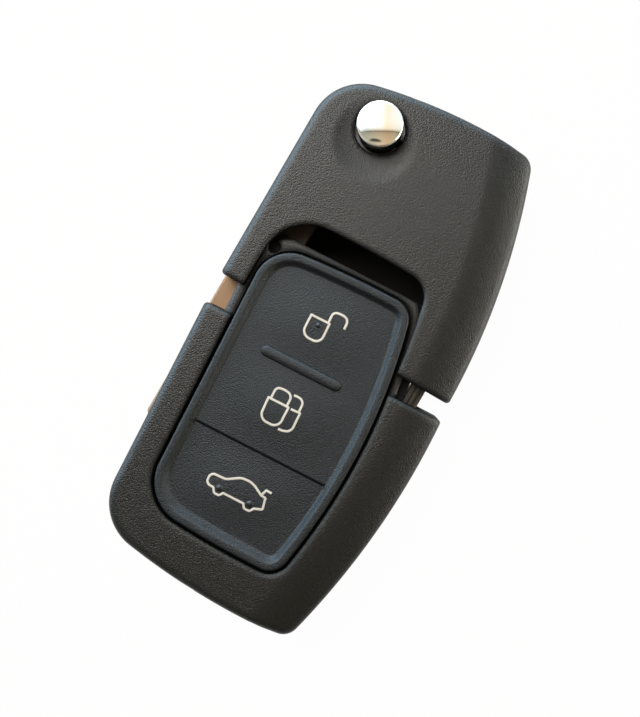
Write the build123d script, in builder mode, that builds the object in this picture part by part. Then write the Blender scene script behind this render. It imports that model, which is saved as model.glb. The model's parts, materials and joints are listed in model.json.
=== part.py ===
"""Folding car key with a draw-off remote, lying on its back.

Millimetres, +Z up through the front face.  The origin is the point of the back face
that lies on the blade's pivot axis.  +Y runs from the remote to the head.
"""

from math import cos, radians, sin, sqrt
import os

from build123d import *

# Case
case_thick = 16.0
skin = 1.6
wall = 1.5
edge_radius = 1.1
mouth_corner = 0.6
small_edge = 0.25
slope_width = 6.5
slope_drop = 2.0
slope_start = 4.0
corner_round = 8.0
corner_tight = 2.5

# Head outline, from the left side and the mouth
pivot_inset = 9.65
pivot_height = 29.97
head_mouth = 38.8
head_shoulder = 33.58
head_lean = (7.35, 3.9)
head_side_radius = 107.5
head_top_radius = 85.0

# Remote outline, from its left side and its shoulder
remote_width = 38.8
remote_overhang = 0.25
remote_heel = 35.6
remote_corner = (33.15, 38.9)
remote_side_radius = 117.0
remote_end_radius = 105.0

# How the remote sits in the head
seam_gap = 0.5
drawn_out = 2.6
rock_angle = 3.1
sliding_gap = 0.3
rib_start = 14.0
rib_width = 1.2
rib_gap = 1.4

# Neck of the remote, which enters the head
neck_left = 2.7
neck_room = 2.8
neck_length = 14.0
neck_round = 4.0
neck_taper = 0.6

# Button pad and its window
pad_left = 4.65
pad_right = 29.95
pad_top = (11.95, 12.85)
pad_bottom = (29.95, 31.2)
pad_waist = -9.0
pad_side_radius = 92.0
pad_end_radius = 150.0
pad_rounds = (5.6, 3.3, 3.0, 6.6)
pad_gap = 0.45
pad_rise = 0.35
pad_rim = 1.1
pad_recess = 0.8
pad_low_step = 0.3
pad_floor = 12.6
pad_skin = 1.4
pad_foot = 2.2
pad_nub = 1.5
pad_edge = 0.4
shelf_thick = 1.2
ridge_taper = 20.0
crease_y = -16.15
crease_width = 0.35
ridge_y = -2.4
ridge_width = 1.6
ridge_ends = (10.3, 23.3)
bevel_width = 1.4
notch_left_gap = 0.8
notch_end_gap = 1.3
notch_side_gap = 0.35
notch_rounds = (7.3, 3.6, 3.0, 6.6)
collar_wide = (1.5, 1.15, 1.2)
collar_round = 0.3
collar_bite = (5.1, 11.7, 0.95)

# Blade, bow and release button
blade_width = 8.25
blade_thick = 3.0
blade_inset = -0.1
blade_reach = 56.1
blade_root = 12.0
blade_tip_cut = 2.4
blade_edge = 0.3
blade_groove = (3.0, 0.6)
groove_length = 36.0
blade_tail = (5.0, 7.0, 1.6)
bow_thick = 3.2
bow_gap = 0.3
bow_ring_radius = 5.4
bow_round = 7.0
hub_radius = 4.0
hub_lift = 0.4
hub_top = 12.2
running_gap = 0.06
thread_gap = 0.02
bearing_wall = 1.1
roll_pin_radius = 0.8
barrel_radius = 3.0
barrel_bottom = 6.0
barrel_wall = 0.7
barrel_lug = (1.2, 0.5, 3.0)
lug_gap = 0.08
collar_radius = 3.3
collar_rise = 0.9
cap_radius = 3.4
cap_rise = 3.6
cap_crown = 0.55
cap_edge = 0.45
cap_stem = (1.5, 1.3)
button_hole = 3.75
dish_radius = 6.1
dish_depth = 0.7
dish_offset = (0.25, -2.05)
press_travel = 2.0
spring_wire = 0.45
spring_radius = 1.85
spring_turns = 5.0
spigot_height = 2.2

# Catch that runs in the head and carries the remote
knuckle_inset = 2.3
knuckle_height = 6.585
knuckle_radius = 1.5
knuckle_length = 6.6
bridge_width = 1.4
bridge_thick = 3.0
rail_width = 2.2
rail_length = 13.6
rail_height = 8.4
rail_tail = 8.2
rail_grooves = ((0.6, 0.2), (1.3, 0.45))
rail_groove_depth = 0.8
rail_slot_room = (0.75, 0.45)
rail_gap = 0.15
rock_room = 0.35
mouth_inset = 3.7
side_wall = 3.6

# Electronics
slot_wall = 1.3
slot_depth = 9.3
slot_end = 26.3
board_thick = 1.0
board_gap = 0.3
board_right = 31.2
board_end = (11.4, 28.6)
board_neck_gap = 4.2
switch_size = (6.0, 6.0, 2.3)
switch_places = ((16.3, 4.6), (16.6, -9.4), (16.6, -22.4))
stem_radius = 1.2
stem_top = 12.9
stem_gap = 0.05
stem_hole = 1.7
stem_travel = 0.25
cell_radius = 10.0
cell_thick = 3.2
cell_place = (21.1, -12.8)
cell_gap = 0.25
cell_fence = 1.0
cell_step = 0.6
contact_thick = 0.3
contact_width = 3.0
contact_inset = 4.7
post_radius = 1.1
chip_size = (6.0, 5.0, 1.2)
chip_place = (27.3, -23.2)
crystal_size = (5.0, 3.2, 1.1)
crystal_place = (27.3, -4.4)
transponder_size = (12.0, 6.0, 3.0)
transponder_inset = (14.2, 21.4)
transponder_cut = 0.5
fence = 1.0

# Screw and ring bar
screw_inset = (4.6, 6.0)
screw_radius = 1.0
screw_head = (1.9, 1.2)
screw_length = 11.0
screw_sink = 0.3
screw_boss = 2.4
screw_drive = 0.4
ring_place = 20.0
ring_recess = (9.0, 30.4, 7.0)
ring_wall = 1.2
ring_bar_radius = 1.0
ring_bar_place = (36.0, 2.2)
ring_bar_grip = 1.6

mid = case_thick / 2
head_corner = (head_mouth - head_lean[0], head_shoulder + head_lean[1])
mouth_right = head_mouth - mouth_inset
neck_right = mouth_right - neck_room
knuckle = (neck_right - knuckle_inset, knuckle_height)
board_neck = knuckle[0] - board_neck_gap
upper_contact_x = board_neck - contact_inset
transponder_place = (head_mouth - transponder_inset[0], transponder_inset[1])
screw_place = (head_corner[0] - screw_inset[0], head_corner[1] - screw_inset[1])
skin_low = skin
skin_high = case_thick - skin
slot_half = bow_thick / 2 + bow_gap

# The head's plane has its origin at the left end of the mouth
head = Plane(origin=(-pivot_inset, -pivot_height, 0))
rest_seat = Location((knuckle[0], knuckle[1] - seam_gap - drawn_out, 0))
rocked = Location((0, 0, 0), (0, 0, rock_angle))
remote = Plane(head.location * rest_seat * rocked * Location((-knuckle[0], -knuckle[1], 0)))
drum = Plane.XY
knuckle_plane = Plane(head.location * rest_seat)


def bowed_outline(left, mouth, heel, corner, side_radius, end_radius, side):
    """Case outline with one straight side, one bowed side and a bowed end."""
    with BuildSketch() as outline:
        with BuildLine():
            Polyline((mouth, 0), (left, 0), (left, side * heel))
            RadiusArc((left, side * heel), (corner[0], side * corner[1]), side * end_radius)
            RadiusArc((corner[0], side * corner[1]), (mouth, 0), side * side_radius)
        make_face()
        ends = outline.vertices().filter_by(lambda v: abs(v.Y) > 1)
        fillet(ends.sort_by(Axis.X)[0], corner_round)
        ends = outline.vertices().filter_by(lambda v: abs(v.Y) > 1)
        fillet(ends.sort_by_distance((corner[0], side * corner[1]))[0], corner_tight)
    return outline.sketch


def side_centre(mouth, corner, radius, side):
    """Centre of the bowed side, which also shapes the slopes beside it."""
    reach = Vector(corner[0] - mouth, side * corner[1])
    middle = Vector(mouth, 0) + reach * 0.5
    inward = Vector(-side * reach.Y, side * reach.X).normalized()
    return middle + inward * sqrt(radius**2 - (reach.length / 2) ** 2)


def pad_outline(left=0.0, right=0.0, top=0.0, bottom=0.0, rounding=0.0, rounds=pad_rounds):
    """Outline of the button pad, with each side moved out by its own amount."""
    bow = pad_side_radius + right
    side_x = pad_right + right - bow
    high = pad_top[1] + top
    low = -pad_bottom[1] - bottom
    right_high = side_x + sqrt(bow**2 - (high - pad_waist) ** 2)
    right_low = side_x + sqrt(bow**2 - (low - pad_waist) ** 2)
    left_x = pad_left - left
    tl = (left_x, pad_top[0] + top)
    tr = (right_high, high)
    br = (right_low, low)
    bl = (left_x, -pad_bottom[0] - bottom)
    with BuildSketch() as outline:
        with BuildLine():
            Line(bl, tl)
            RadiusArc(tl, tr, pad_end_radius)
            RadiusArc(tr, br, bow)
            RadiusArc(br, bl, pad_end_radius)
        make_face()
        for place, size in zip((tl, tr, br, bl), rounds):
            fillet(outline.vertices().sort_by_distance(place)[0], size + rounding)
    return outline.sketch


def side_slopes(base, centre, radius):
    """Cutter for the soft slopes that run beside the bowed side, front and back."""
    start = (radius - slope_width, case_thick)
    curl = (slope_width**2 + slope_drop**2) / (2 * slope_drop)
    foot = (radius + slope_drop, case_thick - slope_drop * (1 + slope_width / curl))
    fall = (cos(radians(slope_start)), -sin(radians(slope_start)))
    swing = base.rotated((0, 0, -30))
    origin = base.from_local_coords((centre.X, centre.Y, 0))
    section = Plane(origin=origin, x_dir=swing.x_dir, z_dir=-swing.y_dir)
    with BuildPart() as cutter:
        with BuildSketch(section):
            with BuildLine():
                TangentArc(start, foot, tangent=fall)
                Polyline(foot, (foot[0], case_thick + 1), (start[0], case_thick + 1), start)
            make_face()
        revolve(axis=Axis(origin, (0, 0, 1)), revolution_arc=60)
        mirror(about=base.offset(mid))
    return cutter.part


def case_solid(base, outline, centre, radius):
    """One end of the case, solid, with its slopes and soft edges."""
    with BuildPart() as solid:
        with BuildSketch(base):
            add(outline)
        extrude(amount=case_thick)
        add(side_slopes(base, centre, radius), mode=Mode.SUBTRACT)
        sides = solid.faces().filter_by(lambda f: abs(f.normal_at().Z) < 0.01)
        mouth = sides.filter_by(lambda f: abs(base.to_local_coords(f.center()).Y) < 0.01)
        rims = (sides - mouth).edges().filter_by(Axis.Z, reverse=True)
        fillet(rims, edge_radius)
        at_mouth = solid.edges().filter_by(
            lambda e: abs(base.to_local_coords(e.center()).Y) < 0.01
        )
        upright = at_mouth.filter_by(Axis.Z).sort_by(
            lambda e: base.to_local_coords(e.center()).X
        )[0]
        fillet(upright, mouth_corner)
    return solid.part


head_outline = bowed_outline(
    0, head_mouth, head_shoulder, head_corner, head_side_radius, head_top_radius, 1
)
head_centre = side_centre(head_mouth, head_corner, head_side_radius, 1)
remote_outline = bowed_outline(
    -remote_overhang,
    remote_width,
    remote_heel,
    remote_corner,
    remote_side_radius,
    remote_end_radius,
    -1,
)
remote_centre = side_centre(remote_width, remote_corner, remote_side_radius, -1)
head_solid = case_solid(head, head_outline, head_centre, head_side_radius)
remote_solid = case_solid(remote, remote_outline, remote_centre, remote_side_radius)
closed_seat = Plane(head.location * Location((0, -seam_gap, 0)))

slot_low = mid - slot_half
slot_high = mid + slot_half
shelf_low = pad_floor - shelf_thick
neck_low = skin_low + sliding_gap
neck_high = skin_high - sliding_gap
blade_right = blade_inset + blade_width
open_edge = pivot_inset + (pivot_inset - blade_inset) + bow_gap
pivot = (pivot_inset, pivot_height)
inner_left = slot_depth + slot_wall
reach = 60.0

pieces = {}

# Hollow of the head, narrower beside the slope, and the channel for the catch's rail
with BuildSketch() as head_cavity:
    add(head_outline)
    offset(amount=-wall, mode=Mode.REPLACE)
    with Locations(head_centre):
        Circle(head_side_radius - side_wall, mode=Mode.INTERSECT)
    with Locations((wall, -1)):
        Rectangle(mouth_right - wall, 2 * wall + 1, align=Align.MIN)

rail_right = mouth_right - rail_gap
rail_left = rail_right - rail_width
rail_top = knuckle[1] - seam_gap - rail_tail + rail_length
with BuildSketch() as rail_channel:
    with Locations((rail_left - 1, -1)):
        Rectangle(mouth_right - rail_left + 1, rail_top + 2, align=Align.MIN)

# The blade and its bow swing out through this band of the side and the end
with BuildSketch() as swing_band:
    with Locations((-1, -1)):
        Rectangle(pivot_inset + 1, reach, align=Align.MIN)
    with Locations((-1, pivot_height - bow_gap)):
        Rectangle(open_edge + 1, reach, align=Align.MIN)

with BuildPart() as head_front_cover:
    add(head_solid)
    split(bisect_by=head.offset(mid), keep=Keep.TOP)
    with BuildSketch(head.offset(mid)):
        add(head_cavity)
    extrude(amount=skin_high - mid, mode=Mode.SUBTRACT)
    with BuildSketch(head.offset(mid)):
        add(rail_channel)
    extrude(amount=rail_height / 2 + rail_gap, mode=Mode.SUBTRACT)
    # Bearing for the hub, boss for the screw and a rib behind the neck
    with BuildSketch(drum.offset(slot_high + bow_gap)):
        Circle(hub_radius + running_gap + bearing_wall)
    extrude(amount=skin_high - slot_high - bow_gap)
    with BuildSketch(head.offset(mid)):
        with Locations(screw_place):
            Circle(screw_boss)
    extrude(amount=skin_high - mid)
    with BuildSketch(head.offset(slot_high)):
        with Locations((rib_start, neck_length + rib_gap)):
            Rectangle(mouth_right - rib_start, rib_width, align=Align.MIN)
        with Locations(head_centre):
            Circle(head_side_radius - wall, mode=Mode.INTERSECT)
    extrude(amount=skin_high - slot_high)
    with BuildSketch(head.offset(mid)):
        add(swing_band)
    extrude(amount=slot_half, mode=Mode.SUBTRACT)
    with BuildSketch(drum.offset(mid)):
        Circle(hub_radius + running_gap)
    extrude(amount=skin_high - mid, mode=Mode.SUBTRACT)
    with BuildSketch(drum.offset(mid)):
        Circle(button_hole)
    extrude(amount=case_thick, mode=Mode.SUBTRACT)
    with BuildSketch(head.offset(mid)):
        with Locations(screw_place):
            Circle(screw_radius + thread_gap)
    extrude(amount=screw_sink + screw_length - mid + bow_gap, mode=Mode.SUBTRACT)
    # Finger dish round the button
    bowl = (dish_radius**2 + dish_depth**2) / (2 * dish_depth)
    with Locations((dish_offset[0], dish_offset[1], case_thick - dish_depth + bowl)):
        Sphere(bowl, mode=Mode.SUBTRACT)
    # Notch that the raised pad enters
    with BuildSketch(closed_seat.offset(skin_high - sliding_gap)):
        add(pad_outline(notch_left_gap, notch_side_gap, notch_end_gap, 0, 0, notch_rounds))
    extrude(amount=skin + 1, mode=Mode.SUBTRACT)
    brim = head_front_cover.faces().filter_by(lambda f: abs(f.center().Z - case_thick) < 0.001)
    notch_reach = neck_length + notch_end_gap
    notch_edges = brim.edges().filter_by(
        lambda e: 0.01 < head.to_local_coords(e.center()).Y < notch_reach
        and 2 < head.to_local_coords(e.center()).X < mouth_right - 2
    )
    fillet(notch_edges, small_edge)
pieces["head_front_cover"] = head_front_cover.part

spigot_bore = spring_radius + spring_wire / 2 + 0.2
with BuildPart() as head_rear_cover:
    add(head_solid)
    split(bisect_by=head.offset(mid), keep=Keep.BOTTOM)
    with BuildSketch(head.offset(skin_low)):
        add(head_cavity)
    extrude(amount=mid, mode=Mode.SUBTRACT)
    with BuildSketch(head.offset(mid)):
        add(rail_channel)
    extrude(amount=-rail_height / 2 - rail_gap, mode=Mode.SUBTRACT)
    # Spigot for the hub and the spring, boss for the screw, fence round the transponder
    with BuildSketch(drum.offset(skin_low)):
        Circle(barrel_radius)
        Circle(spigot_bore, mode=Mode.SUBTRACT)
    extrude(amount=spigot_height)
    with BuildSketch(head.offset(skin_low)):
        with Locations(screw_place):
            Circle(screw_boss)
    extrude(amount=mid - skin_low)
    with BuildSketch(head.offset(skin_low)):
        with Locations(transponder_place):
            Rectangle(transponder_size[0] + 2 * fence, transponder_size[1] + 2 * fence)
            Rectangle(
                transponder_size[0] + 2 * stem_gap,
                transponder_size[1] + 2 * stem_gap,
                mode=Mode.SUBTRACT,
            )
    extrude(amount=transponder_size[2] / 2)
    with BuildSketch(head.offset(slot_low)):
        add(swing_band)
    extrude(amount=slot_half, mode=Mode.SUBTRACT)
    with BuildSketch(head):
        with Locations(screw_place):
            Circle(screw_radius + thread_gap)
    extrude(amount=mid, mode=Mode.SUBTRACT)
    with BuildSketch(head):
        with Locations(screw_place):
            Circle(screw_head[0] + running_gap)
    extrude(amount=screw_sink + screw_head[1], mode=Mode.SUBTRACT)
pieces["head_rear_cover"] = head_rear_cover.part

with BuildPart() as head_screw:
    with BuildSketch(head.offset(screw_sink)):
        with Locations(screw_place):
            Circle(screw_head[0])
    extrude(amount=screw_head[1])
    with BuildSketch(head.offset(screw_sink)):
        with Locations(screw_place):
            Circle(screw_radius)
    extrude(amount=screw_length)
    with BuildSketch(head.offset(screw_sink)):
        with Locations(screw_place):
            Rectangle(2 * screw_radius, screw_drive)
            Rectangle(screw_drive, 2 * screw_radius)
    extrude(amount=screw_head[1] / 2, mode=Mode.SUBTRACT)
pieces["head_screw"] = head_screw.part

with BuildPart() as transponder_chip:
    with BuildSketch(head.offset(skin_low)):
        with Locations(transponder_place):
            Rectangle(transponder_size[0], transponder_size[1])
    extrude(amount=transponder_size[2])
    chamfer(transponder_chip.edges().filter_by(Axis.Z), transponder_cut)
pieces["transponder_chip"] = transponder_chip.part

# Blade, bow and the button that releases them
root_y = pivot_height - blade_root
blade_x = blade_inset + blade_width / 2
tail_width, tail_length, tail_thick = blade_tail
pin_y = root_y + tail_length / 2

with BuildPart() as blade_bow:
    with BuildSketch(head.offset(mid - bow_thick / 2)):
        with BuildLine():
            Polyline(
                (blade_inset, root_y),
                (blade_inset, pivot_height + hub_radius - 1),
                (pivot_inset, pivot_height + hub_radius - 1),
                (pivot_inset, pivot_height),
                (blade_right, pivot_height),
                (blade_right, root_y),
                close=True,
            )
        make_face()
        corner = (blade_inset, pivot_height + hub_radius - 1)
        fillet(vertices().sort_by_distance(corner)[0], bow_round)
        with Locations(pivot):
            Circle(bow_ring_radius)
    extrude(amount=bow_thick)
    with BuildSketch(drum.offset(skin_low + hub_lift)):
        Circle(hub_radius)
    extrude(amount=hub_top - skin_low - hub_lift)
    with BuildSketch(drum):
        Circle(barrel_radius + running_gap)
    extrude(amount=case_thick, mode=Mode.SUBTRACT)
    # Keyways for the barrel's lugs
    with BuildSketch(drum.offset(barrel_bottom - press_travel)):
        Rectangle(2 * (barrel_radius + barrel_lug[1] + lug_gap), barrel_lug[0] + 2 * lug_gap)
    extrude(amount=case_thick, mode=Mode.SUBTRACT)
    # Socket for the blade's tail and its pin
    with BuildSketch(head.offset(mid - tail_thick / 2 - stem_gap)):
        with Locations((blade_x, root_y)):
            Rectangle(
                tail_width + 2 * stem_gap,
                tail_length + stem_gap,
                align=(Align.CENTER, Align.MIN),
            )
    extrude(amount=tail_thick + 2 * stem_gap, mode=Mode.SUBTRACT)
    with BuildSketch(head):
        with Locations((blade_x, pin_y)):
            Circle(roll_pin_radius + thread_gap)
    extrude(amount=case_thick, mode=Mode.SUBTRACT)
pieces["blade_bow"] = blade_bow.part

tip_y = pivot_height - blade_reach
with BuildPart() as key_blade:
    with BuildSketch(head.offset(mid - blade_thick / 2)):
        with BuildLine():
            Polyline(
                (blade_inset, root_y),
                (blade_inset, tip_y + blade_tip_cut),
                (blade_inset + blade_tip_cut, tip_y),
                (blade_right - blade_tip_cut, tip_y),
                (blade_right, tip_y + blade_tip_cut),
                (blade_right, root_y),
                close=True,
            )
        make_face()
    extrude(amount=blade_thick)
    chamfer(key_blade.edges().filter_by(Axis.Y), blade_edge)
    with BuildSketch(head.offset(mid - tail_thick / 2)):
        with Locations((blade_x, root_y)):
            Rectangle(tail_width, tail_length, align=(Align.CENTER, Align.MIN))
    extrude(amount=tail_thick)
    # Guide groove along each face, run out at the tip
    groove_width, groove_depth = blade_groove
    for level in (mid - blade_thick / 2, mid + blade_thick / 2 - groove_depth):
        with BuildSketch(head.offset(level)):
            with Locations((blade_x, tip_y - 1)):
                Rectangle(
                    groove_width,
                    groove_length + 1,
                    align=(Align.CENTER, Align.MIN),
                )
        extrude(amount=groove_depth, mode=Mode.SUBTRACT)
    with BuildSketch(head):
        with Locations((blade_x, pin_y)):
            Circle(roll_pin_radius + thread_gap)
    extrude(amount=case_thick, mode=Mode.SUBTRACT)
pieces["key_blade"] = key_blade.part

with BuildPart() as blade_roll_pin:
    with BuildSketch(head.offset(mid - bow_thick / 2)):
        with Locations((blade_x, pin_y)):
            Circle(roll_pin_radius)
    extrude(amount=bow_thick)
pieces["blade_roll_pin"] = blade_roll_pin.part

collar_low = hub_top + press_travel + bow_gap / 2
collar_high = case_thick + collar_rise
barrel_ceiling = collar_low - 2 * barrel_wall
with BuildPart() as release_barrel:
    with BuildSketch(drum.offset(barrel_bottom)):
        Circle(barrel_radius)
    extrude(amount=collar_low - barrel_bottom)
    with BuildSketch(drum.offset(collar_low)):
        Circle(collar_radius)
    extrude(amount=collar_high - collar_low)
    with BuildSketch(drum.offset(barrel_bottom + press_travel)):
        Rectangle(2 * (barrel_radius + barrel_lug[1]), barrel_lug[0])
    extrude(amount=barrel_lug[2])
    with BuildSketch(drum.offset(barrel_bottom)):
        Circle(barrel_radius - barrel_wall)
    extrude(amount=barrel_ceiling - barrel_bottom, mode=Mode.SUBTRACT)
    with BuildSketch(drum.offset(collar_high - cap_stem[1] - stem_gap)):
        Circle(cap_stem[0] + stem_gap)
    extrude(amount=cap_stem[1] + 1, mode=Mode.SUBTRACT)
pieces["release_barrel"] = release_barrel.part

cap_high = case_thick + cap_rise
with BuildPart() as release_cap:
    with BuildSketch(Plane.XZ):
        with BuildLine():
            Polyline(
                (0, cap_high),
                (0, collar_high - cap_stem[1]),
                (cap_stem[0], collar_high - cap_stem[1]),
                (cap_stem[0], collar_high),
                (cap_radius, collar_high),
                (cap_radius, cap_high - cap_crown),
            )
            TangentArc((0, cap_high), (cap_radius, cap_high - cap_crown), tangent=(1, 0))
        make_face()
    revolve(axis=Axis.Z)
    crown_rim = release_cap.edges().filter_by(Plane.XY).group_by(Axis.Z)[-1]
    fillet(crown_rim, cap_edge)
pieces["release_cap"] = release_cap.part

# The spring stands on the rear cover inside the spigot and pushes the barrel up
coil_low = skin_low + spring_wire
coil_length = barrel_ceiling - spring_wire - coil_low
with BuildPart() as return_spring:
    with BuildLine():
        Helix(coil_length / spring_turns, coil_length, spring_radius, center=(0, 0, coil_low))
    with BuildSketch(Plane(origin=(spring_radius, 0, coil_low), z_dir=(0, 1, 0))):
        Circle(spring_wire / 2)
    sweep(is_frenet=True)
pieces["return_spring"] = return_spring.part

# Catch: its rail runs in the head, its knuckle holds the remote
rail_x = rail_left - knuckle[0]
with BuildPart() as remote_catch:
    with BuildSketch(knuckle_plane.offset(mid - knuckle_length / 2)):
        Circle(knuckle_radius)
    extrude(amount=knuckle_length)
    with BuildSketch(knuckle_plane.offset(mid - bridge_thick / 2)):
        Rectangle(rail_x + 0.1, bridge_width, align=(Align.MIN, Align.CENTER))
    extrude(amount=bridge_thick)
    with BuildSketch(knuckle_plane.offset(mid - rail_height / 2)):
        with Locations((rail_x, -rail_tail)):
            Rectangle(rail_width, rail_length, align=Align.MIN)
    extrude(amount=rail_height)
    fillet(remote_catch.edges().filter_by(Axis.Z).sort_by(Axis.Y)[0:2], rail_width / 4)
    fillet(remote_catch.edges().filter_by(Axis.Z).sort_by(Axis.Y)[-2:], rail_width / 4)
    with BuildSketch(knuckle_plane.offset(mid + rail_height / 2 - rail_groove_depth)):
        for place, width in rail_grooves:
            with Locations((rail_x + place, -rail_tail - 1)):
                Rectangle(width, rail_length + 2, align=Align.MIN)
    extrude(amount=rail_height, mode=Mode.SUBTRACT)
pieces["remote_catch"] = remote_catch.part

# Hollows of the remote, right of the blade's slot
inner_end = ring_recess[1] - ring_wall
with BuildSketch() as neck_outline:
    with BuildLine():
        Polyline(
            (neck_left, -wall),
            (neck_left, neck_length),
            (neck_right - neck_taper, neck_length),
            (neck_right, 0),
            (neck_right, -wall),
            close=True,
        )
    make_face()
    fillet(vertices().group_by(Axis.Y)[-1], neck_round)

with BuildSketch() as remote_hollow:
    add(remote_outline)
    offset(amount=-wall, mode=Mode.REPLACE)
    with Locations(remote_centre):
        Circle(remote_side_radius - side_wall, mode=Mode.INTERSECT)
    with Locations((inner_left, 0)):
        Rectangle(reach, inner_end, align=(Align.MIN, Align.MAX), mode=Mode.INTERSECT)

with BuildSketch() as neck_hollow:
    with Locations((inner_left, -2 * wall)):
        Rectangle(
            board_neck + board_gap - inner_left,
            neck_length + wall,
            align=Align.MIN,
        )

with BuildSketch() as rim_hollow:
    add(remote_outline)
    offset(amount=-wall, mode=Mode.REPLACE)
    with Locations(remote_centre):
        Circle(remote_side_radius - side_wall, mode=Mode.INTERSECT)
    with Locations((inner_left, 0)):
        Rectangle(reach, reach, align=(Align.MIN, Align.MAX), mode=Mode.INTERSECT)
    edge = pad_gap + slot_wall
    add(pad_outline(edge, edge, edge, edge, edge), mode=Mode.SUBTRACT)

with BuildSketch() as blade_slot:
    with Locations((-1, -slot_end)):
        Rectangle(slot_depth + 1, slot_end + neck_length + 1, align=Align.MIN)

with BuildSketch() as bridge_slot:
    with Locations(knuckle):
        Rectangle(reach, bridge_width + 2 * rock_room, align=(Align.MIN, Align.CENTER))

with BuildSketch() as tail_slot:
    with Locations((rail_left - rail_slot_room[0], 1)):
        Rectangle(
            rail_width + sum(rail_slot_room),
            rail_tail - knuckle[1] + rock_room + 2 * sliding_gap + 1,
            align=(Align.MIN, Align.MAX),
        )

bore_half = knuckle_length / 2 + stem_gap
buttons = dict(zip(("unlock", "lock", "boot"), switch_places))

# Collar that carries the pocket's wall along the neck, with a small bite at its corner
with BuildPart() as pad_collar:
    with BuildSketch(remote.offset(mid)):
        left_wide, right_wide, top_wide = (pad_gap + wide for wide in collar_wide)
        add(pad_outline(left_wide, right_wide, top_wide, 0, pad_gap))
        add(neck_outline, mode=Mode.INTERSECT)
    extrude(amount=neck_high - mid)
    fillet(pad_collar.faces().sort_by(Axis.Z)[-1].edges(), collar_round)
    with BuildSketch(remote.offset(pad_floor)):
        with Locations(collar_bite[:2]):
            Circle(collar_bite[2])
    extrude(amount=case_thick, mode=Mode.SUBTRACT)

with BuildPart() as remote_front_frame:
    add(remote_solid)
    split(bisect_by=remote.offset(mid), keep=Keep.TOP)
    with BuildSketch(remote.offset(mid)):
        add(neck_outline)
    extrude(amount=pad_floor - mid)
    add(pad_collar.part)
    with BuildSketch(remote.offset(mid)):
        add(remote_hollow)
        add(neck_hollow)
    extrude(amount=shelf_low - mid, mode=Mode.SUBTRACT)
    with BuildSketch(remote.offset(mid)):
        add(rim_hollow)
    extrude(amount=skin_high - mid, mode=Mode.SUBTRACT)
    with BuildSketch(remote.offset(mid)):
        add(blade_slot)
    extrude(amount=slot_half, mode=Mode.SUBTRACT)
    with BuildSketch(remote.offset(mid)):
        with Locations(knuckle):
            Circle(knuckle_radius + running_gap)
    extrude(amount=bore_half, mode=Mode.SUBTRACT)
    with BuildSketch(remote.offset(mid)):
        add(bridge_slot)
    extrude(amount=bridge_thick / 2 + rock_room, mode=Mode.SUBTRACT)
    with BuildSketch(remote.offset(mid)):
        add(tail_slot)
    extrude(amount=rail_height / 2 + sliding_gap, mode=Mode.SUBTRACT)
    # Pocket for the pad, with a hole over each switch
    with BuildSketch(remote.offset(pad_floor)):
        add(pad_outline(pad_gap, pad_gap, pad_gap, pad_gap, pad_gap))
    extrude(amount=case_thick, mode=Mode.SUBTRACT)
    with BuildSketch(remote.offset(mid)):
        with Locations(*switch_places):
            Circle(stem_hole)
    extrude(amount=case_thick, mode=Mode.SUBTRACT)
    brim = remote_front_frame.faces().filter_by(lambda f: abs(f.center().Z - case_thick) < 0.001)
    pocket_edges = brim.edges().filter_by(
        lambda e: remote.to_local_coords(e.center()).Y < -0.01
        and pad_left - 1 < remote.to_local_coords(e.center()).X < pad_right + 1
        and remote.to_local_coords(e.center()).Y > -pad_bottom[1] - 1
    )
    fillet(pocket_edges, small_edge)
pieces["remote_front_frame"] = remote_front_frame.part

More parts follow.
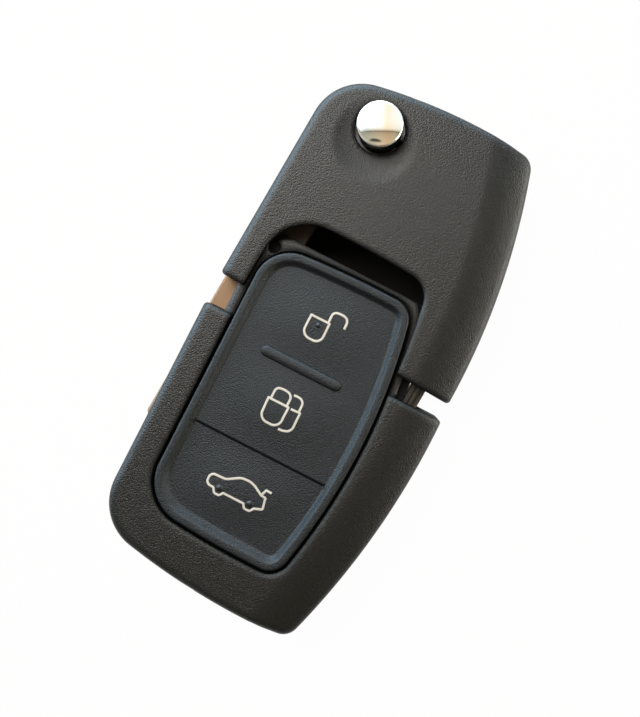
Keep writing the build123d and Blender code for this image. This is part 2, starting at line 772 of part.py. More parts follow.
board_low = mid - board_thick
posts = (
    (inner_left + 2 * post_radius, neck_length - wall - 2 * post_radius),
    (board_neck - 2 * post_radius, neck_length - wall - 2 * post_radius),
    (inner_left + 2 * post_radius, -board_end[1] + 1.5 * post_radius),
    (board_right - 2 * post_radius, -board_end[1] + 1.5 * post_radius),
)
cell_low = skin_low + contact_thick + stem_gap
contact_leg = cell_radius + cell_gap + cell_fence + board_gap
with BuildPart() as remote_rear_cover:
    add(remote_solid)
    split(bisect_by=remote.offset(mid), keep=Keep.BOTTOM)
    with BuildSketch(remote.offset(neck_low)):
        add(neck_outline)
    extrude(amount=mid - neck_low)
    with BuildSketch(remote.offset(skin_low)):
        add(remote_hollow)
    extrude(amount=mid, mode=Mode.SUBTRACT)
    with BuildSketch(remote.offset(neck_low + slot_wall)):
        add(neck_hollow)
    extrude(amount=mid, mode=Mode.SUBTRACT)
    # Fence round the cell, broken for the lower contact, and posts under the board
    with BuildSketch(remote.offset(skin_low)):
        with Locations(cell_place):
            Circle(cell_radius + cell_gap + cell_fence)
            Circle(cell_radius + cell_gap, mode=Mode.SUBTRACT)
            Rectangle(contact_width + 2 * cell_gap, reach, align=(Align.CENTER, Align.MAX),
                      mode=Mode.SUBTRACT)
        with Locations((inner_left, 0)):
            Rectangle(reach, reach, align=(Align.MIN, Align.CENTER), mode=Mode.INTERSECT)
    extrude(amount=cell_thick - contact_thick)
    with BuildSketch(remote.offset(skin_low)):
        with Locations(*posts):
            Circle(post_radius)
    extrude(amount=board_low - skin_low)
    with BuildSketch(remote.offset(slot_low)):
        add(blade_slot)
    extrude(amount=slot_half, mode=Mode.SUBTRACT)
    with BuildSketch(remote.offset(mid - bore_half)):
        with Locations(knuckle):
            Circle(knuckle_radius + running_gap)
    extrude(amount=bore_half, mode=Mode.SUBTRACT)
    with BuildSketch(remote.offset(mid)):
        add(bridge_slot)
    extrude(amount=-bridge_thick / 2 - rock_room, mode=Mode.SUBTRACT)
    with BuildSketch(remote.offset(mid)):
        add(tail_slot)
    extrude(amount=-rail_height / 2 - sliding_gap, mode=Mode.SUBTRACT)
    # Recess and cross holes for the ring bar
    with BuildSketch(remote):
        with Locations((ring_place, -ring_recess[1])):
            Rectangle(ring_recess[0], reach, align=(Align.CENTER, Align.MAX))
    extrude(amount=ring_recess[2], mode=Mode.SUBTRACT)
    bar_start = remote.from_local_coords((ring_place, -ring_bar_place[0], ring_bar_place[1]))
    bar_plane = Plane(origin=bar_start, z_dir=remote.x_dir)
    with BuildSketch(bar_plane):
        Circle(ring_bar_radius)
    extrude(amount=ring_recess[0] / 2 + ring_bar_grip, both=True, mode=Mode.SUBTRACT)
pieces["remote_rear_cover"] = remote_rear_cover.part

with BuildPart() as ring_bar:
    with BuildSketch(bar_plane):
        Circle(ring_bar_radius)
    extrude(amount=ring_recess[0] / 2 + ring_bar_grip, both=True)
pieces["ring_bar"] = ring_bar.part

# Button pad: raised rim, recessed fields, a ridge and a crease between the buttons
pad_low = pad_floor + stem_gap
pad_high = case_thick + pad_rise
field = pad_high - pad_recess
foot_run = Vector(pad_right - pad_left, pad_bottom[0] - pad_bottom[1])
foot_plane = Plane(
    origin=remote.from_local_coords((pad_left, pad_rim - pad_bottom[0], 0)),
    x_dir=remote.y_dir * foot_run.X - remote.x_dir * foot_run.Y,
    z_dir=remote.x_dir * foot_run.X + remote.y_dir * foot_run.Y,
)
with BuildPart() as button_pad:
    with BuildSketch(remote.offset(pad_low)):
        add(pad_outline())
    extrude(amount=pad_high - pad_low)
    fillet(button_pad.faces().sort_by(Axis.Z)[-1].edges(), pad_edge)
    with BuildSketch(remote.offset(field)) as fields:
        add(pad_outline(-pad_rim, -pad_rim, -pad_rim, -pad_rim, -pad_rim))
    extrude(amount=case_thick, mode=Mode.SUBTRACT)
    with BuildSketch(remote.offset(field - pad_low_step)):
        add(pad_outline(-pad_rim, -pad_rim, -pad_rim, -pad_rim, -pad_rim))
        with Locations((0, crease_y)):
            Rectangle(reach, reach, align=(Align.MIN, Align.MAX), mode=Mode.INTERSECT)
    extrude(amount=case_thick, mode=Mode.SUBTRACT)
    with BuildSketch(remote.offset(field - 2 * pad_low_step)):
        with Locations((pad_left + pad_rim, crease_y)):
            Rectangle(
                pad_right - pad_left - 2.5 * pad_rim,
                crease_width,
                align=(Align.MIN, Align.CENTER),
            )
    extrude(amount=case_thick, mode=Mode.SUBTRACT)
    half = ridge_width / 2
    with BuildSketch(remote.offset(field)):
        with BuildLine():
            Polyline(
                (ridge_ends[0], ridge_y),
                (ridge_ends[0] + half, ridge_y - half),
                (ridge_ends[1] - half, ridge_y - half),
                (ridge_ends[1], ridge_y),
                (ridge_ends[1] - half, ridge_y + half),
                (ridge_ends[0] + half, ridge_y + half),
                close=True,
            )
        make_face()
    extrude(amount=pad_recess, taper=ridge_taper)
    # Slope at the foot of the lowest field, along the pad's lower side
    with BuildSketch(foot_plane.offset(pad_rounds[3])):
        with BuildLine():
            Polyline(
                (-pad_rim / 2, field - pad_low_step),
                (bevel_width, field - pad_low_step),
                (-pad_rim / 2, pad_high - pad_edge),
                close=True,
            )
        make_face()
    extrude(amount=foot_run.length - pad_rounds[3] - pad_rounds[2])
    # Hollow underside with a nub over each switch
    with BuildSketch(remote.offset(pad_low)):
        add(pad_outline(-pad_foot, -pad_foot, -pad_foot, -pad_foot, -pad_foot))
        with Locations(*switch_places):
            Circle(pad_nub, mode=Mode.SUBTRACT)
    extrude(amount=field - pad_skin - pad_low, mode=Mode.SUBTRACT)
    with BuildSketch(remote.offset(pad_low)):
        with Locations(*switch_places):
            Circle(pad_nub)
    extrude(amount=stem_top + stem_gap - pad_low, mode=Mode.SUBTRACT)
pieces["button_pad"] = button_pad.part

# Board with its switches, chips, cell and contacts
with BuildPart() as circuit_board:
    with BuildSketch(remote.offset(board_low)):
        with Locations((inner_left + board_gap, -2 * wall)):
            Rectangle(
                board_right - inner_left - board_gap,
                board_end[1] - 2 * wall,
                align=(Align.MIN, Align.MAX),
            )
            Rectangle(
                board_neck - inner_left - board_gap,
                board_end[0] + 2 * wall,
                align=Align.MIN,
            )
    extrude(amount=board_thick)
pieces["circuit_board"] = circuit_board.part

for name, place in buttons.items():
    with BuildPart() as switch:
        with BuildSketch(remote.offset(mid)):
            with Locations(place):
                Rectangle(switch_size[0], switch_size[1])
        extrude(amount=switch_size[2])
        with BuildSketch(remote.offset(mid + switch_size[2] / 2)):
            with Locations(place):
                Circle(stem_radius + stem_gap)
        extrude(amount=switch_size[2], mode=Mode.SUBTRACT)
    pieces[f"{name}_switch"] = switch.part
    with BuildPart() as stem:
        with BuildSketch(remote.offset(mid + switch_size[2] / 2 + 2 * stem_travel)):
            with Locations(place):
                Circle(stem_radius)
        extrude(amount=stem_top - mid - switch_size[2] / 2 - 2 * stem_travel)
    pieces[f"{name}_stem"] = stem.part

for name, place, size in (
    ("transmitter_chip", chip_place, chip_size),
    ("crystal", crystal_place, crystal_size),
):
    with BuildPart() as component:
        with BuildSketch(remote.offset(mid)):
            with Locations(place):
                Rectangle(size[0], size[1])
        extrude(amount=size[2])
    pieces[name] = component.part

with BuildPart() as coin_cell:
    with BuildSketch(remote.offset(cell_low)):
        with Locations(cell_place):
            Circle(cell_radius - cell_step)
    extrude(amount=cell_step)
    with BuildSketch(remote.offset(cell_low + cell_step)):
        with Locations(cell_place):
            Circle(cell_radius)
    extrude(amount=cell_thick - cell_step)
pieces["coin_cell"] = coin_cell.part

with BuildPart() as lower_contact:
    with BuildSketch(remote.offset(skin_low)):
        with Locations(cell_place):
            Rectangle(
                contact_width, contact_leg + contact_thick, align=(Align.CENTER, Align.MAX)
            )
    extrude(amount=contact_thick)
    with BuildSketch(remote.offset(skin_low)):
        with Locations((cell_place[0], cell_place[1] - contact_leg)):
            Rectangle(contact_width, contact_thick, align=(Align.CENTER, Align.MAX))
    extrude(amount=board_low - skin_low)
pieces["lower_contact"] = lower_contact.part

cell_high = cell_low + cell_thick + stem_gap
with BuildPart() as upper_contact:
    with BuildSketch(remote.offset(cell_high)):
        with Locations((upper_contact_x, cell_place[1] + cell_radius / 2)):
            Rectangle(
                contact_width,
                contact_leg - cell_radius / 2 + contact_thick,
                align=(Align.CENTER, Align.MIN),
            )
    extrude(amount=contact_thick)
    with BuildSketch(remote.offset(cell_high)):
        with Locations((upper_contact_x, cell_place[1] + contact_leg)):
            Rectangle(contact_width, contact_thick, align=(Align.CENTER, Align.MIN))
    extrude(amount=board_low - cell_high)
pieces["upper_contact"] = upper_contact.part

os.makedirs("parts", exist_ok=True)
for name, piece in pieces.items():
    piece.label = name
    export_step(piece, f"parts/{name}.step")
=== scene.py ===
"""Finishes of a folding car key: grained case, rubber pad with pictograms, chrome button, stage."""

import json
from math import atan2, cos, pi, radians, sin

import bmesh
import bpy
import numpy as np
from bpy.props import FloatProperty, FloatVectorProperty, PointerProperty
from bpy.types import Operator, Panel, PropertyGroup
from mathutils import Euler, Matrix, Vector


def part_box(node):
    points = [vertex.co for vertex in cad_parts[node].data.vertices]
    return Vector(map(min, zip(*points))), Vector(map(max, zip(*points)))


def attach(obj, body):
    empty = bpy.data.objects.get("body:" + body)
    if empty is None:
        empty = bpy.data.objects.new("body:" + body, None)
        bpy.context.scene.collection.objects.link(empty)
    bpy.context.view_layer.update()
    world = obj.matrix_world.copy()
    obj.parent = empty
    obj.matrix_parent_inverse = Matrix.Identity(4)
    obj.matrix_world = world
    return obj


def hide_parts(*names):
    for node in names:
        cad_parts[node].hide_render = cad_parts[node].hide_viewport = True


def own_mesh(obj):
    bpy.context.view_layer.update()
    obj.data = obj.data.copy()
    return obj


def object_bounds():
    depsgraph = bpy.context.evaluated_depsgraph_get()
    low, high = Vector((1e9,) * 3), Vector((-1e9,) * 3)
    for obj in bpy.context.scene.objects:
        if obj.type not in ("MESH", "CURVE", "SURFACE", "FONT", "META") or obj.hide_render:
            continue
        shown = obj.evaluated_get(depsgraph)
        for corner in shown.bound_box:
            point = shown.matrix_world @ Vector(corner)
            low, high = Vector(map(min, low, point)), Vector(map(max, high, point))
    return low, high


bl_info = {
    "name": "Folding Key Finish",
    "version": (1, 0, 0),
    "blender": (4, 5, 0),
    "location": "View3D > Sidebar > Key",
    "description": "Dresses the folding car key with its finishes, pad and pictograms",
    "category": "Object",
}

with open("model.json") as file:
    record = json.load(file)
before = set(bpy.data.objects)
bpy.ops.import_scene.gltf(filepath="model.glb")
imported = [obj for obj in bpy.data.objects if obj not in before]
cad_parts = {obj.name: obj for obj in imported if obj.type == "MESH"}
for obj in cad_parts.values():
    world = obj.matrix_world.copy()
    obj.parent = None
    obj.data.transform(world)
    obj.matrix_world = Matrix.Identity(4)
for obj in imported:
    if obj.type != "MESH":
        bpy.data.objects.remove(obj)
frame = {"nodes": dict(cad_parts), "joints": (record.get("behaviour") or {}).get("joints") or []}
cad_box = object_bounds()
MM = 0.001

# The remote's own axes start at the left end of its shoulder and are turned about its knuckle
ROCK = next(j for j in frame["joints"] if j["name"] == "remote_rock")
TURN = radians(-ROCK["range_deg"][0])
KNUCKLE = (30.0 * MM, 6.585 * MM)

HEAD_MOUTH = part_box("head_front_cover")[0].y
CASE_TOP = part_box("head_front_cover")[1].z
# Faces that look up within this depth of the front have the outer finish
FRONT_DEPTH = 2.2 * MM
# How far another facet may stand out past the plane of one on the outside
FACET_SLACK = 0.1 * MM
# How far past the head's mouth or the remote's shoulder the outer finish starts
FINISH_START = 0.02 * MM

# Outline of the pad in the remote's axes: a straight left side, two ends that bow a little, and a
# right side that bows more and reaches furthest at its waist.  The rounds are the corners' radii,
# clockwise from the upper left
PAD_LEFT = 4.65 * MM
PAD_RIGHT = 29.95 * MM
PAD_WAIST = -9.0 * MM
PAD_LEFT_ENDS = (11.95 * MM, -29.95 * MM)
PAD_RIGHT_ENDS = (12.85 * MM, -31.2 * MM)
PAD_END_RADIUS = 150.0 * MM
PAD_SIDE_RADIUS = 92.0 * MM
STRAIGHT_RADIUS = 40.0
PAD_ROUNDS = (5.6 * MM, 3.3 * MM, 3.0 * MM, 6.6 * MM)

# Levels of the pad, from its CAD solid, and the radius of its outer top edge
PAD_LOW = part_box("button_pad")[0].z
PAD_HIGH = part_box("button_pad")[1].z
PAD_EDGE = 0.35 * MM

# The ridge between the upper fields: its place up the pad, its ends across it and its height
RIDGE = -2.4 * MM
RIDGE_ENDS = (10.3 * MM, 23.3 * MM)
RIDGE_RISE = 0.48 * MM
# The crease over the lowest field: its place up the pad, the room it takes from the fields below
# and above, and how far its ends run in under the rim.  The step down starts a little above it
CREASE = -16.15 * MM
CREASE_BELOW = 0.35 * MM
CREASE_ABOVE = 0.25 * MM
CREASE_TUCK = 0.5 * MM
STEP_START = 0.05 * MM
STEP_RUN = 0.3 * MM
FIELD_THICK = 0.9 * MM
# Past either end of the pad
FAR = 1.0
# How often the corners of the fields' border are evened out
FOOT_TURNS = 40
PIP_RISE = 0.3 * MM
# How far the ridge, the pictograms' lines and the pips reach into the rubber
RIDGE_FOOT = 0.4 * MM
LINE_FOOT = 0.1 * MM
PIP_FOOT = 0.02 * MM
# The dark edge round each line is painted shadow of the groove it lies in; it lies a little to the
# upper left of its line, the side the light comes from
SHADOW_SHIFT = np.array([-0.02, 0.02]) * MM

# Pictograms: each line says whether it is closed, then its corners (x, y, bend radius) in the
# remote's axes in millimetres.  Pips are x, y and radius
UNLOCK_LINES = (
    (True, ((14.63, 5.28), (17.6, 5.28), (17.68, 2.02, 1.15), (14.6, 2.02, 1.25))),
    (False, ((17.37, 5.25), (17.34, 7.12, 0.75), (18.55, 7.27, 2.5), (19.8, 7.15, 0.9),
             (19.87, 5.5))),
)
LOCK_LINES = (
    (True, ((14.55, -8.33), (17.82, -8.33), (17.82, -11.72, 1.2), (14.68, -11.72, 1.3))),
    (False, ((14.9, -8.3), (14.92, -6.45, 0.7), (16.2, -6.3, 2.5), (17.52, -6.5, 0.9),
             (17.5, -8.3))),
    (False, ((17.72, -6.4), (18.3, -6.32, 2.5), (19.42, -6.5, 0.9), (19.48, -8.3))),
    (False, ((18.25, -8.4), (19.72, -8.33), (19.78, -11.35, 1.1), (18.6, -11.78, 1.5),
             (17.88, -11.82))),
)
BOOT_LINES = (
    (True, ((12.05, -21.98, 0.75), (14.45, -21.88, 1.4), (16.35, -20.68, 2.0),
            (18.1, -20.52, 3.0), (20.12, -21.65, 0.25), (20.86, -21.72, 0.15),
            (21.22, -23.42, 0.2), (20.0, -23.88, 0.2), (19.62, -24.5, 0.4),
            (18.7, -24.5, 0.4), (18.33, -23.87, 0.15), (15.0, -23.87, 0.15),
            (14.6, -24.46, 0.4), (13.75, -24.46, 0.4), (13.35, -23.76, 0.2),
            (12.05, -23.7, 0.75))),
    (False, ((20.16, -21.45), (20.45, -20.66, 0.12), (21.35, -20.7))),
)
MARKS = {
    "unlock": (UNLOCK_LINES, ((16.25, 4.35, 0.42),)),
    "lock": (LOCK_LINES, ()),
    "boot": (BOOT_LINES, ((14.15, -23.45, 0.55), (19.2, -23.5, 0.55))),
}

# Along Y, where the painted shade at the blade's root starts and where it is full
BLADE_ROOT_SHADE = (-26 * MM, -23 * MM)

# The camera's axis meets the case's front at this place, which the photograph shows at this pixel
CAMERA_AIM = (9.37 * MM, -33.54 * MM)
AXIS_PIXEL = (380, 355)
IMAGE = (640, 717)
SENSOR = 36

# Each lamp's colour, its size, and its place from the middle of the key: right, up and over it as
# the camera sees it
LAMPS = {
    "overhead": ((1.0, 0.95, 0.87), (0.27, 0.235), (-0.12, 0.185, 0.313)),
    "window": ((0.58, 0.82, 1.0), (1.05, 0.30), (-0.17, 0.33, 0.105)),
    "side": ((1.0, 0.97, 0.88), (0.30, 0.15), (0.30, -0.02, 0.045)),
}
SKY_COLOUR = (1.0, 0.96, 0.90, 1)
WHITE = (1, 1, 1, 1)
FLOOR_HALF = 2.0
FLOOR_DROP = 0.05 * MM
# Share of plain white in what the camera sees of the floor; the rest shows the shadow
FLOOR_WHITE = 0.98

# What a reflection sees, from behind the remote (0) over the zenith (0.5) to beyond the head (1)
ROOM = (
    (0.0, (0.07, 0.055, 0.04)),
    (0.28, (0.62, 0.53, 0.40)),
    (0.44, (0.44, 0.37, 0.27)),
    (0.484, (0.34, 0.28, 0.20)),
    (0.492, (0.07, 0.055, 0.04)),
    (0.502, (0.58, 0.53, 0.45)),
    (0.53, (0.88, 0.84, 0.77)),
    (0.60, (0.97, 0.96, 0.94)),
    (0.70, (0.94, 0.97, 1.0)),
)
# Its change of colour from the left (0) to the right (1)
ROOM_TINT = (
    (0.3, (0.80, 0.93, 1.0)),
    (0.5, (1.0, 0.97, 0.92)),
    (0.6, (1.0, 0.84, 0.66)),
    (0.8, (0.84, 0.95, 0.96)),
)
ROOM_GLOW = 1.3
# The long dark spot in it: its middle, right and up of the zenith, its half lengths and its turn,
# where its soft edge starts and ends as shares of the half lengths, and its strength
SPOT = (-0.12, -0.25)
SPOT_SIZE = (0.17, 0.032)
SPOT_TURN = radians(-10)
SPOT_EDGE = (0.7, 1.1)
SPOT_GLOW = 0.12


def length_property(name, description, default):
    return FloatProperty(name=name, description=description, default=default, unit="LENGTH",
                         precision=5)


def colour_property(name, description, default):
    return FloatVectorProperty(name=name, description=description, default=default,
                               subtype="COLOR", size=3, min=0, max=1)


def share_property(name, description, default):
    return FloatProperty(name=name, description=description, default=default, min=0, max=1)


def power_property(name, description, default):
    return FloatProperty(name=name, description=description, default=default, unit="POWER")


class KeyCase(PropertyGroup):
    """Finish of the grained case covers"""
    colour: colour_property("Case", "Colour of the grained covers", (0.0045, 0.0048, 0.0052))
    inside: colour_property("Inside", "Colour of the smooth moulded inside",
                            (0.004, 0.0036, 0.0032))
    grain: length_property("Grain", "Width of one pebble of the leather grain", 0.2 * MM)
    depth: length_property("Depth", "Height of the grain", 0.044 * MM)
    roughness: share_property("Roughness", "Roughness of the covers", 0.31)
    worn: length_property("Worn", "How far in the edges are worn round", 1.2 * MM)


class KeyPad(PropertyGroup):
    """Shape and finish of the rubber pad"""
    colour: colour_property("Pad", "Colour of the rubber", (0.0042, 0.0066, 0.0096))
    grain: length_property("Grain", "Width of the rubber's fine grain", 0.18 * MM)
    depth: length_property("Depth", "Height of the rubber's grain", 0.062 * MM)
    rim: length_property("Rim", "Width of the raised rim", 0.95 * MM)
    slope: length_property("Slope", "Width of the rim's inner slope", 1.0 * MM)
    bevel: length_property("Bevel", "Width of the slope at the lower end", 1.35 * MM)
    sunk: length_property("Sunk", "Depth of the button fields below the rim", 0.62 * MM)
    step: length_property("Step", "How far the lowest field lies below the others", 0.22 * MM)
    crown: length_property("Crown", "How far each field bulges in its middle", 0.32 * MM)
    ridge: length_property("Ridge", "Width of the ridge between the buttons", 1.7 * MM)


class KeyMarks(PropertyGroup):
    """Pictograms on the pad"""
    colour: colour_property("Marks", "Colour of the pictogram lines", (0.77, 0.74, 0.68))
    # The edge's dark colour is painted shadow of the groove round each line
    edge: colour_property("Edge", "Colour of the edge round the lines", (0.006, 0.006, 0.007))
    width: length_property("Width", "Width of the lines", 0.33 * MM)
    border: length_property("Border", "Width of the dark edge", 0.08 * MM)
    rise: length_property("Rise", "Height of the lines over the rubber", 0.04 * MM)


class KeyMetal(PropertyGroup):
    """Metal finishes"""
    chrome: colour_property("Chrome", "Plated release button", (0.88, 0.87, 0.84))
    blade: colour_property("Blade", "Folded blade", (0.245, 0.135, 0.062))
    bow: colour_property("Bow", "Cast bow that holds the blade", (0.21, 0.21, 0.22))
    steel: colour_property("Steel", "Pins, spring and screw", (0.60, 0.60, 0.61))
    plated: colour_property("Plated", "Cell, contacts and crystal", (0.65, 0.64, 0.60))


class KeyInside(PropertyGroup):
    """Finish of the inner pieces"""
    catch: colour_property("Catch", "Colour of the catch", (0.020, 0.014, 0.009))
    chips: colour_property("Chips", "Colour of the chips and switches", (0.02, 0.02, 0.022))
    board: colour_property("Board", "Colour of the circuit board", (0.015, 0.10, 0.04))


class KeyStage(PropertyGroup):
    """Floor, lamps and camera"""
    floor: colour_property("Floor", "Colour of the floor", (0.9, 0.9, 0.9))
    sky: share_property("Sky", "Strength of the even light from all round", 0.10)
    overhead: power_property("Overhead lamp", "Power of the large lamp overhead", 1.8)
    window: power_property("Window lamp", "Power of the low cool lamp beyond the head", 10.8)
    side: power_property("Side lamp", "Power of the low lamp beside the bowed side", 1.5)
    turn: FloatProperty(name="Turn", description="Turn of the camera about its axis",
                        default=radians(30.2), subtype="ANGLE")
    height: length_property("Height", "Camera's height over the case's front", 159.9 * MM)
    lens: FloatProperty(name="Lens", description="Focal length in millimetres", default=54.93)


GROUPS = {"key_case": KeyCase, "key_pad": KeyPad, "key_marks": KeyMarks, "key_metal": KeyMetal,
          "key_inside": KeyInside, "key_stage": KeyStage}


# Shapes


def on_remote(points):
    """Points in the remote's own axes, turned about the knuckle into the frame."""
    points = np.asarray(points, float)
    x, y = points[..., 0] - KNUCKLE[0], points[..., 1] - KNUCKLE[1]
    centre = ROCK["pos_m"]
    turned = np.empty_like(points)
    turned[..., 0] = centre[0] + x * cos(TURN) - y * sin(TURN)
    turned[..., 1] = centre[1] + x * sin(TURN) + y * cos(TURN)
    turned[..., 2] = points[..., 2]
    return turned


def ring_mesh(name, rings, wrap=False):
    """Skin over rings[r, n] of points: quads join ring r to r + 1.  Unless wrap is set, which joins
    the last ring to the first, each end ring is closed by a fan to its own mean point."""
    rings = np.asarray(rings, float)
    count, around = rings.shape[:2]
    index = np.arange(count * around).reshape(count, around)
    if wrap:
        index = np.vstack([index, index[:1]])
    a, b = index[:-1], index[1:]
    quads = np.stack([a, np.roll(a, -1, 1), np.roll(b, -1, 1), b], -1).reshape(-1, 4)
    points = rings.reshape(-1, 3)
    faces = quads.tolist()
    if not wrap:
        poles = count * around + np.arange(2)
        points = np.vstack([points, rings[0].mean(0), rings[-1].mean(0)])
        first, last = index[0], index[-1]
        low = np.stack([np.roll(first, -1), first, np.full(around, poles[0])], -1)
        high = np.stack([last, np.roll(last, -1), np.full(around, poles[1])], -1)
        faces += low.tolist() + high.tolist()
    mesh = bpy.data.meshes.new(name)
    mesh.from_pydata(points.tolist(), [], faces)
    mesh.shade_smooth()
    tidy = bmesh.new()
    tidy.from_mesh(mesh)
    bmesh.ops.recalc_face_normals(tidy, faces=tidy.faces)
    tidy.to_mesh(mesh)
    tidy.free()
    piece = bpy.data.objects.new(name, mesh)
    bpy.context.scene.collection.objects.link(piece)
    return piece


def join_pieces(name, pieces):
    """One object from several, each keeping its own closed skin."""
    joined = bmesh.new()
    for piece in pieces:
        joined.from_mesh(piece.data)
        bpy.data.objects.remove(piece)
    mesh = bpy.data.meshes.new(name)
    joined.to_mesh(mesh)
    joined.free()
    whole = bpy.data.objects.new(name, mesh)
    bpy.context.scene.collection.objects.link(whole)
    return whole


def finish_piece(piece, material, body, sharp=radians(40)):
    """Gives a piece its material and its body, with edges over sharp kept."""
    mesh = piece.data
    mesh.materials.clear()
    mesh.materials.append(material)
    mesh.shade_smooth()
    mesh.set_sharp_from_angle(angle=sharp)
    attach(piece, body)
    return piece


def arc_points(centre, radius, start, end, count):
    """Points on a circle from angle start to end, along the shorter way."""
    sweep = (end - start + pi) % (2 * pi) - pi
    angles = start + sweep * np.linspace(0, 1, count, endpoint=False)
    ray = np.stack([np.cos(angles), np.sin(angles)], -1)
    return centre + radius * ray, ray


def circle_through(a, b, radius):
    """Centre of the circle of this radius through a and b, on the right of the way from a to b."""
    middle, half = (a + b) / 2, (b - a) / 2
    inward = np.array([half[1], -half[0]]) / np.linalg.norm(half)
    return middle + inward * np.sqrt(radius**2 - half @ half)


def circles_meet(p, p_radius, q, q_radius, near):
    """The crossing of two circles that is nearer to a given point."""
    gap = q - p
    reach = np.linalg.norm(gap)
    along = (reach**2 + p_radius**2 - q_radius**2) / (2 * reach)
    aside = np.sqrt(max(p_radius**2 - along**2, 0))
    ray = gap / reach
    side = np.array([-ray[1], ray[0]])
    found = [p + ray * along + side * aside * s for s in (1, -1)]
    return min(found, key=lambda f: np.linalg.norm(f - near))


def pad_path():
    """The pad's outline, clockwise, as points and outward normals: four circles, each joined to the
    next by a smaller circle that touches both from inside."""
    bow_x = PAD_RIGHT - PAD_SIDE_RADIUS
    right = [(bow_x + np.sqrt(PAD_SIDE_RADIUS**2 - (y - PAD_WAIST) ** 2), y)
             for y in PAD_RIGHT_ENDS]
    corners = np.array([(PAD_LEFT, PAD_LEFT_ENDS[0]), *right, (PAD_LEFT, PAD_LEFT_ENDS[1])])
    radii = (PAD_END_RADIUS, PAD_SIDE_RADIUS, PAD_END_RADIUS, STRAIGHT_RADIUS)
    centres = [circle_through(corners[i], corners[(i + 1) % 4], radii[i]) for i in range(4)]
    rounds = [circles_meet(centres[i - 1], radii[i - 1] - PAD_ROUNDS[i], centres[i],
                           radii[i] - PAD_ROUNDS[i], corners[i]) for i in range(4)]
    points, normals = [], []
    for i in range(4):
        before, after = rounds[i] - centres[i - 1], rounds[i] - centres[i]
        ahead = rounds[(i + 1) % 4] - centres[i]
        start, middle, end = (atan2(way[1], way[0]) for way in (before, after, ahead))
        corner = arc_points(rounds[i], PAD_ROUNDS[i], start, middle, 26)
        side = arc_points(centres[i], radii[i], middle, end, 90)
        for part in (corner, side):
            points.append(part[0])
            normals.append(part[1])
    return np.vstack(points), np.vstack(normals)


def eased(t):
    """Smooth step from 0 to 1."""
    t = np.clip(t, 0, 1)
    return t * t * (3 - 2 * t)


def field_levels(y, pad):
    """Height of the button fields: lower by the step under the crease."""
    low = eased((CREASE + STEP_START - y) / STEP_RUN)
    return PAD_HIGH - pad.sunk - pad.step * low


def rim_foot(points, normals, pad):
    """Where the rim's inner slope meets the fields: set in from the outline by the rim and the
    slope, and further along the lower end."""
    low_end = eased((-0.1 - normals[:, 1]) / 0.8)
    inset = pad.rim + pad.slope + (pad.bevel - pad.slope) * low_end
    return points - normals * inset[:, None]


def smooth_ring(points, turns):
    """Mean of each point and its neighbours round the ring, repeated."""
    for _ in range(turns):
        points = (np.roll(points, 1, 0) + points * 2 + np.roll(points, -1, 0)) / 4
    return points


def fields_border(pad):
    """The foot of the rim's inner slope, which bounds the fields, with its corners evened out."""
    return smooth_ring(rim_foot(*pad_path(), pad), FOOT_TURNS)


def at_level(points, level):
    """Flat points at a level, which is one number or one for each point."""
    return np.column_stack([points, np.broadcast_to(level, len(points))])


def pad_rim(pad):
    """Rim profile carried round the outline.  From the outside: wall, quarter round, flat top, and
    an S-shaped slope down to the fields; then back under the rim."""
    points, normals = pad_path()
    foot = fields_border(pad)
    levels = field_levels(foot[:, 1], pad)
    start = points - normals * pad.rim
    rings = [at_level(points, PAD_LOW)]
    for angle in np.radians(range(0, 91, 15)):
        inward = normals * PAD_EDGE * (1 - cos(angle))
        rings.append(at_level(points - inward, PAD_HIGH - PAD_EDGE * (1 - sin(angle))))
    for share in np.linspace(0, 1, 9):
        flat = start + (foot - start) * share
        rings.append(at_level(flat, PAD_HIGH + (levels - PAD_HIGH) * eased(share)))
    rings += [at_level(foot, levels - pad.sunk), at_level(start, PAD_LOW)]
    return ring_mesh("pad_rim", on_remote(rings), wrap=True)


def crossing(outer, inner, low, high):
    """Where the way from inner to outer passes the nearer of two heights."""
    limit = high if outer[1] > high else low
    return inner + (outer - inner) * (limit - inner[1]) / (outer[1] - inner[1])


def cut_border(border, low, high, count=44):
    """Part of a closed border between two heights, closed by straight runs of points."""
    inside = (border[:, 1] > low) & (border[:, 1] < high)
    start = int(np.argmax(inside & ~np.roll(inside, 1)))
    border, inside = np.roll(border, -start, 0), np.roll(inside, -start)
    firsts = np.flatnonzero(inside & ~np.roll(inside, 1))
    lasts = np.flatnonzero(inside & ~np.roll(inside, -1))
    runs = []
    for first, last in zip(firsts, lasts):
        run = border[first:last + 1]
        after = border[(last + 1) % len(border)]
        runs.append(np.vstack([crossing(border[first - 1], run[0], low, high), run,
                               crossing(after, run[-1], low, high)]))
    parts = []
    for i, run in enumerate(runs):
        ahead = runs[(i + 1) % len(runs)][0]
        parts += [run, np.linspace(run[-1], ahead, count, endpoint=False)[1:]]
    return np.vstack(parts)


def border_sides(border, y):
    """Left and right x of a closed border at the heights y."""
    middle = (border[:, 0].min() + border[:, 0].max()) / 2
    sides = []
    for half in (border[border[:, 0] < middle], border[border[:, 0] >= middle]):
        half = half[np.argsort(half[:, 1])]
        sides.append(np.interp(y, half[:, 1], half[:, 0]))
    return sides


